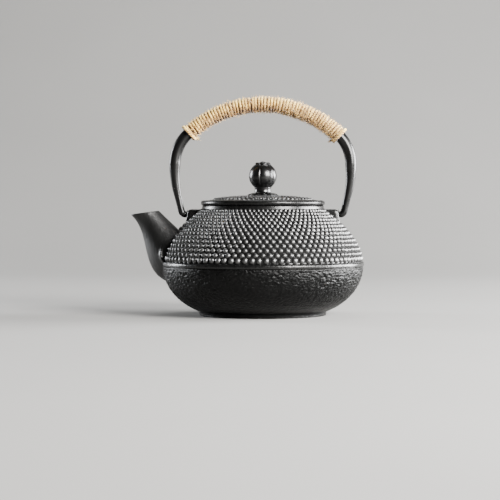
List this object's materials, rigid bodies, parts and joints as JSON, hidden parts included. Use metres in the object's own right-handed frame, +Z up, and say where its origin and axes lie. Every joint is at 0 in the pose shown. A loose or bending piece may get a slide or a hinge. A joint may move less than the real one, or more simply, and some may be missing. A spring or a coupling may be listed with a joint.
{
  "type": "cast iron teapot",
  "caption": "Squat cast iron teapot with a hobnail shoulder, side spout, lift-off lid with a turning knob, infuser basket, and a swinging bail handle wound with twine.",
  "frame": {"origin": "centre of the flat foot, on the surface that the pot stands on", "axes": "+Z up; the spout points along -X; the bail's pivot pins lie along X"},
  "size_m": [0.1727, 0.15, 0.1618],
  "materials": {
    "cast_iron": "satin black, hobnailed above the ridge band, rough cast below it",
    "knob_enamel": "glossy black",
    "bail_enamel": "glossy black",
    "twine": "hemp twine, fuzzy",
    "steel": "satin stainless steel",
    "steel_mesh": "perforated stainless steel sheet"
  },
  "bodies": {
    "pot": {"pot_body": "cast_iron", "spout": "cast_iron", "lug_spout_side": "cast_iron", "lug_far_side": "cast_iron"},
    "bail": {"bail": "bail_enamel", "twine_wrap": "twine"},
    "lid": {"lid": "cast_iron", "knob_seat": "knob_enamel", "knob_finial": "knob_enamel", "knob_stud": "steel", "knob_washer": "steel", "knob_nut": "steel"},
    "knob": {"knob": "knob_enamel"},
    "infuser": {"infuser_rim": "steel", "infuser_wall": "steel_mesh", "infuser_floor": "steel_mesh", "infuser_band": "steel"}
  },
  "joints": [
    {"name": "bail_swing", "type": "hinge", "parent": "pot", "child": "bail", "pos_m": [0, 0, 0.0746], "axis": [1, 0, 0], "range_deg": [-100, 100]},
    {"name": "lid_lift", "type": "slide", "parent": "pot", "child": "lid", "axis": [0, 0, 1], "range_m": [0, 0.034]},
    {"name": "infuser_lift", "type": "slide", "parent": "pot", "child": "infuser", "axis": [0, 0, 1], "range_m": [0, 0.0187]},
    {"name": "knob_turn", "type": "hinge", "parent": "lid", "child": "knob", "pos_m": [0, 0, 0.1029], "axis": [0, 0, 1], "continuous": true}
  ],
  "couplings": [
    {"joint": "infuser_lift", "follows": "lid_lift", "ratio": 0.55}
  ]
}
